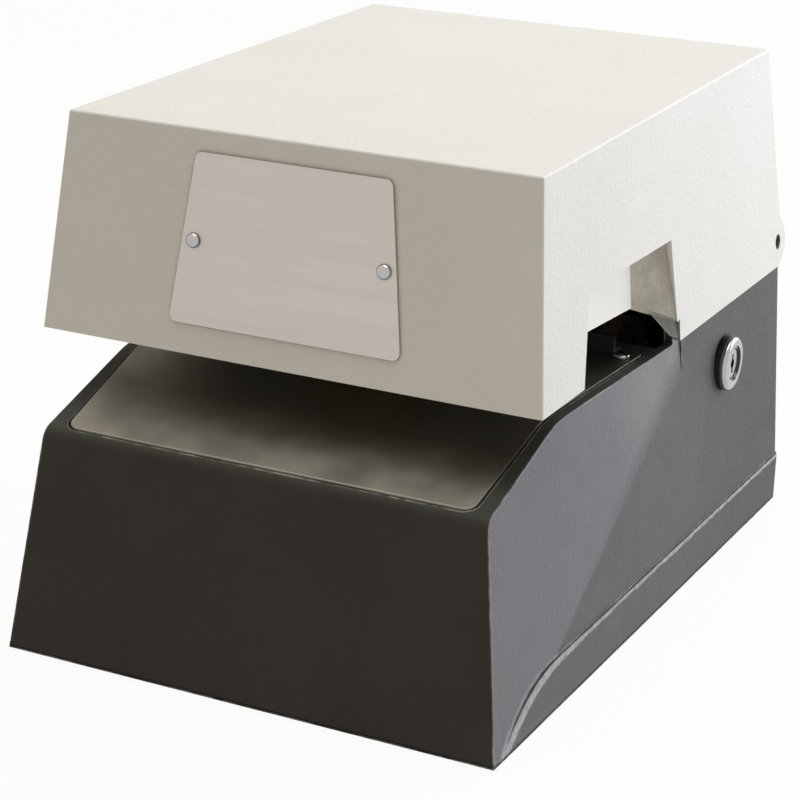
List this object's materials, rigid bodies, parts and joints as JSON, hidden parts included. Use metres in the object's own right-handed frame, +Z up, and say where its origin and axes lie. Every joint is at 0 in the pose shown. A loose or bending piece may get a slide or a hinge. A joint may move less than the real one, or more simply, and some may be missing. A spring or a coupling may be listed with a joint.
{
  "type": "desktop electric embosser",
  "caption": "Desktop electric embosser: dark cast base with a sloped paper throat, hinged pale cover with key lock, motor-driven cam and press arm inside.",
  "frame": {"origin": "on the surface under the rubber feet, at the middle of the machine's width and length", "axes": "+X to the operator's right, +Y to the back, +Z up"},
  "size_m": [0.1706, 0.258, 0.1754],
  "materials": {
    "base_paint": "dark brown-grey textured enamel, satin",
    "cover_paint": "warm off-white textured enamel, satin",
    "plate_steel": "satin, darkened by use",
    "nameplate_metal": "satin anodised, bare",
    "bright_steel": "polished",
    "zinc_steel": "zinc plated",
    "ground_steel": "ground",
    "black_steel": "black oxide",
    "frame_paint": "dark grey machine enamel",
    "die_brass": "engraved face, satin",
    "bronze": "sintered bronze",
    "gear_fibre": "machined gear plastic",
    "stack_steel": "laminated",
    "coil_copper": "varnished winding under tape",
    "cast_aluminium": "as cast",
    "black_rubber": "matt",
    "black_plastic": "moulded",
    "red_plastic": "moulded",
    "blade_brass": "nickel plated",
    "board_green": "solder mask",
    "relay_blue": "moulded",
    "capacitor_sleeve": "shrink sleeve"
  },
  "bodies": {
    "base": {"base_housing": "base_paint", "bottom_plate": "zinc_steel", "bottom_plate_screws": "zinc_steel", "rubber_feet": "black_rubber", "foot_screws": "zinc_steel", "throat_plate": "plate_steel", "throat_plate_screws": "bright_steel", "paper_stop": "black_steel", "paper_stop_screws": "zinc_steel", "frame_plate_left": "frame_paint", "frame_plate_right": "frame_paint", "frame_cross_bars": "frame_paint", "frame_bolts": "black_steel", "die_anvil": "frame_paint", "lower_die": "die_brass", "arm_pivot_shaft": "ground_steel", "cam_shaft_bushings": "bronze", "idler_stud": "ground_steel", "spring_anchor_rod": "ground_steel", "motor_stator": "stack_steel", "motor_coils": "coil_copper", "motor_front_bracket": "cast_aluminium", "motor_rear_bracket": "cast_aluminium", "hinge_pins": "black_steel", "lock_body": "bright_steel", "lock_nut": "zinc_steel", "cover_bumpers": "black_rubber", "trigger_bracket": "zinc_steel", "trigger_switch": "black_plastic", "trigger_pin": "ground_steel", "power_inlet": "black_plastic", "inlet_blades": "blade_brass", "power_switch_frame": "black_plastic", "fuse_holder": "black_plastic", "control_board": "board_green", "board_relay": "relay_blue", "board_capacitor": "capacitor_sleeve", "board_standoffs": "blade_brass", "return_spring": "zinc_steel"},
    "cover": {"cover_shell": "cover_paint", "nameplate": "nameplate_metal", "nameplate_rivets": "bright_steel", "lock_strike": "zinc_steel", "rest_bracket": "zinc_steel"},
    "arm": {"press_arm": "frame_paint", "roller_pin": "ground_steel", "upper_die_holder": "frame_paint", "upper_die": "die_brass"},
    "roller": {"cam_roller": "ground_steel"},
    "cam": {"cam_shaft": "ground_steel", "drive_cam": "ground_steel", "cam_gear": "black_steel"},
    "idler": {"idler_gear": "gear_fibre"},
    "motor": {"motor_rotor": "ground_steel", "motor_pinion": "ground_steel"},
    "lock": {"lock_plug": "bright_steel", "lock_tongue": "zinc_steel"},
    "trigger": {"trigger_lever": "zinc_steel"},
    "button": {"switch_button": "red_plastic"},
    "rocker": {"power_rocker": "red_plastic"}
  },
  "joints": [
    {"name": "cover_hinge", "type": "hinge", "parent": "base", "child": "cover", "pos_m": [0, 0.1105, 0.105], "axis": [-1, 0, 0], "range_deg": [0, 78]},
    {"name": "lock_turn", "type": "hinge", "parent": "base", "child": "lock", "pos_m": [0.08081, 0.0674, 0.0713], "axis": [1, 0, 0], "range_deg": [0, 90]},
    {"name": "cam_turn", "type": "hinge", "parent": "base", "child": "cam", "pos_m": [0, 0.076, 0.084], "axis": [1, 0, 0], "range_deg": [0, 270]},
    {"name": "idler_turn", "type": "hinge", "parent": "base", "child": "idler", "pos_m": [0, 0.04199, 0.062], "axis": [1, 0, 0], "range_deg": [-945, 0]},
    {"name": "motor_turn", "type": "hinge", "parent": "base", "child": "motor", "pos_m": [0, 0.01201, 0.04652], "axis": [1, 0, 0], "range_deg": [0, 3307.5]},
    {"name": "arm_press", "type": "hinge", "parent": "base", "child": "arm", "pos_m": [0, 0.021, 0.124], "axis": [1, 0, 0], "range_deg": [0, 7.5], "deforming": ["return_spring"]},
    {"name": "roller_turn", "type": "hinge", "parent": "arm", "child": "roller", "pos_m": [0, 0.076, 0.1073], "axis": [1, 0, 0], "range_deg": [-540, 0]},
    {"name": "trigger_push", "type": "hinge", "parent": "base", "child": "trigger", "pos_m": [-0.048, -0.003, 0.078], "axis": [-1, 0, 0], "range_deg": [0, 8], "stiffness_Nm_per_rad": 0.05},
    {"name": "button_press", "type": "slide", "parent": "base", "child": "button", "axis": [0, -1, 0], "range_m": [0, 0.001]},
    {"name": "power_switch", "type": "hinge", "parent": "base", "child": "rocker", "pos_m": [0.012, 0.124, 0.046], "axis": [1, 0, 0], "range_deg": [-12, 0]}
  ],
  "couplings": [
    {"joint": "idler_turn", "follows": "cam_turn", "ratio": -3.5},
    {"joint": "motor_turn", "follows": "cam_turn", "ratio": 12.25},
    {"joint": "arm_press", "follows": "cam_turn", "ratio": 0.027778},
    {"joint": "roller_turn", "follows": "cam_turn", "ratio": -2},
    {"joint": "button_press", "follows": "trigger_push", "m_per_rad": 0.00695}
  ]
}
